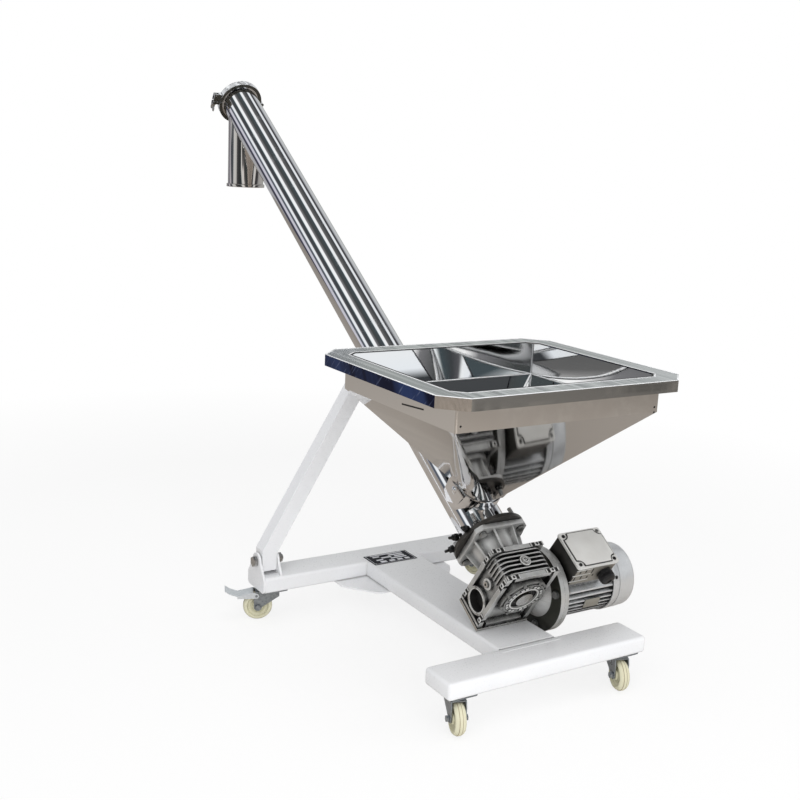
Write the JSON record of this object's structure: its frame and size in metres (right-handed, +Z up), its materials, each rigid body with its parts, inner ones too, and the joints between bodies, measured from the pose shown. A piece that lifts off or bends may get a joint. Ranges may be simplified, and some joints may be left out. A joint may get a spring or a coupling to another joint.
{
  "type": "screw feeder",
  "caption": "Mobile inclined screw feeder: octagonal-rimmed hopper, polished tube with an auger, worm-geared motor, drop spout, tilting A-frame legs on a castor base.",
  "frame": {"origin": "on the floor under the middle of the part's bounding box", "axes": "+X from the drive end toward the discharge, +Y to the left, +Z up"},
  "size_m": [1.814, 0.8386, 1.3872],
  "materials": {
    "base_paint": "gloss",
    "zinc_steel": "zinc plated",
    "wheel_nylon": "satin",
    "bolt_steel": "satin",
    "polished_tube": "polished",
    "polished_sheet": "polished",
    "cast_alloy": "as cast, sprayed silver",
    "machined_steel": "machined",
    "motor_silver": "silver enamel",
    "black_plastic": "matte",
    "wheel_bronze": "machined",
    "seal_rubber": "matte",
    "plate_alloy": "etched, blank"
  },
  "bodies": {
    "base": {"front_crossbar": "base_paint", "rear_crossbar": "base_paint", "spine_beam": "base_paint", "spine_gussets": "base_paint", "clevis_ears": "base_paint", "pivot_bolts": "bolt_steel", "name_plate": "plate_alloy", "castor_plates": "zinc_steel"},
    "auger": {"auger_shaft": "machined_steel", "auger_flight": "machined_steel", "drive_shaft": "machined_steel", "worm_wheel": "wheel_bronze"},
    "motor_line": {"worm_shaft": "machined_steel", "motor_rotor": "machined_steel", "cooling_fan": "black_plastic"},
    "swing_bolt": {"clamp_bolt": "machined_steel"},
    "wing_nut": {"wing_nut": "machined_steel"},
    "swivel_front_left": {"castor_fork_front_left": "zinc_steel", "castor_axle_front_left": "zinc_steel"},
    "wheel_front_left": {"castor_wheel_front_left": "wheel_nylon"},
    "swivel_front_right": {"castor_fork_front_right": "zinc_steel", "castor_axle_front_right": "zinc_steel"},
    "wheel_front_right": {"castor_wheel_front_right": "wheel_nylon"},
    "swivel_rear_left": {"castor_fork_rear_left": "zinc_steel", "castor_axle_rear_left": "zinc_steel"},
    "wheel_rear_left": {"castor_wheel_rear_left": "wheel_nylon"},
    "swivel_rear_right": {"castor_fork_rear_right": "zinc_steel", "castor_axle_rear_right": "zinc_steel"},
    "wheel_rear_right": {"castor_wheel_rear_right": "wheel_nylon"},
    "pedal_rear_left": {"brake_pedal_rear_left": "zinc_steel"},
    "pedal_rear_right": {"brake_pedal_rear_right": "zinc_steel"},
    "conveyor": {"cable_gland": "black_plastic", "clamp_lower": "polished_tube", "clamp_pins": "bolt_steel", "clamp_upper": "polished_tube", "conveyor_tube": "polished_tube", "discharge_spout": "polished_tube", "end_cap": "polished_tube", "fan_cover": "motor_silver", "flange_bolts": "bolt_steel", "foot_plate": "machined_steel", "hopper_body": "polished_sheet", "hopper_rim": "polished_sheet", "inlet_saddle": "polished_tube", "input_flange": "cast_alloy", "left_leg": "base_paint", "leg_saddle": "polished_sheet", "motor_end_shield": "cast_alloy", "motor_frame": "motor_silver", "oil_plugs": "machined_steel", "output_cover": "cast_alloy", "output_flange": "cast_alloy", "reducer_bearings": "machined_steel", "reducer_housing": "cast_alloy", "right_leg": "base_paint", "saddle_bolts": "polished_tube", "shaft_seal": "seal_rubber", "terminal_box": "cast_alloy", "terminal_lid": "cast_alloy", "tube_base_flange": "machined_steel"}
  },
  "joints": [
    {"name": "tilt", "type": "hinge", "parent": "base", "child": "conveyor", "pos_m": [-0.16203, -0.03185, 0.161], "axis": [0, 1, 0], "range_deg": [0, 14]},
    {"name": "auger_turn", "type": "hinge", "parent": "conveyor", "child": "auger", "pos_m": [-0.54203, -0.03185, 0.37769], "axis": [0.829, 0, 0.5592], "continuous": true},
    {"name": "motor_turn", "type": "hinge", "parent": "conveyor", "child": "motor_line", "pos_m": [-0.69085, -0.03185, 0.20132], "axis": [0, 1, 0], "continuous": true},
    {"name": "bolt_swing", "type": "hinge", "parent": "conveyor", "child": "swing_bolt", "pos_m": [0.84786, 0.05515, 1.3393], "axis": [0.829, 0, 0.5592], "range_deg": [0, 85]},
    {"name": "nut_turn", "type": "hinge", "parent": "swing_bolt", "child": "wing_nut", "pos_m": [0.86463, 0.05515, 1.31443], "axis": [-0.5592, 0, 0.829], "continuous": true},
    {"name": "swivel_front_left", "type": "hinge", "parent": "base", "child": "swivel_front_left", "pos_m": [-0.84103, 0.19415, 0.08], "axis": [0, 0, 1], "continuous": true},
    {"name": "roll_front_left", "type": "hinge", "parent": "swivel_front_left", "child": "wheel_front_left", "pos_m": [-0.86957, 0.20342, 0.037], "axis": [-0.309, -0.9511, 0], "continuous": true},
    {"name": "swivel_front_right", "type": "hinge", "parent": "base", "child": "swivel_front_right", "pos_m": [-0.84103, -0.25785, 0.08], "axis": [0, 0, 1], "continuous": true},
    {"name": "roll_front_right", "type": "hinge", "parent": "swivel_front_right", "child": "wheel_front_right", "pos_m": [-0.86957, -0.24857, 0.037], "axis": [-0.309, -0.9511, 0], "continuous": true},
    {"name": "swivel_rear_left", "type": "hinge", "parent": "base", "child": "swivel_rear_left", "pos_m": [-0.16203, 0.30615, 0.08], "axis": [0, 0, 1], "continuous": true},
    {"name": "roll_rear_left", "type": "hinge", "parent": "swivel_rear_left", "child": "wheel_rear_left", "pos_m": [-0.1508, 0.33397, 0.037], "axis": [-0.9272, 0.3746, 0], "continuous": true},
    {"name": "brake_rear_left", "type": "hinge", "parent": "swivel_rear_left", "child": "pedal_rear_left", "pos_m": [-0.1493, 0.33768, 0.068], "axis": [-0.9272, 0.3746, 0], "range_deg": [0, 8]},
    {"name": "swivel_rear_right", "type": "hinge", "parent": "base", "child": "swivel_rear_right", "pos_m": [-0.16203, -0.36985, 0.08], "axis": [0, 0, 1], "continuous": true},
    {"name": "roll_rear_right", "type": "hinge", "parent": "swivel_rear_right", "child": "wheel_rear_right", "pos_m": [-0.13384, -0.35958, 0.037], "axis": [-0.342, 0.9397, 0], "continuous": true},
    {"name": "brake_rear_right", "type": "hinge", "parent": "swivel_rear_right", "child": "pedal_rear_right", "pos_m": [-0.13008, -0.35822, 0.068], "axis": [-0.342, 0.9397, 0], "range_deg": [0, 8]}
  ],
  "couplings": [
    {"joint": "motor_turn", "follows": "auger_turn", "ratio": -15}
  ]
}
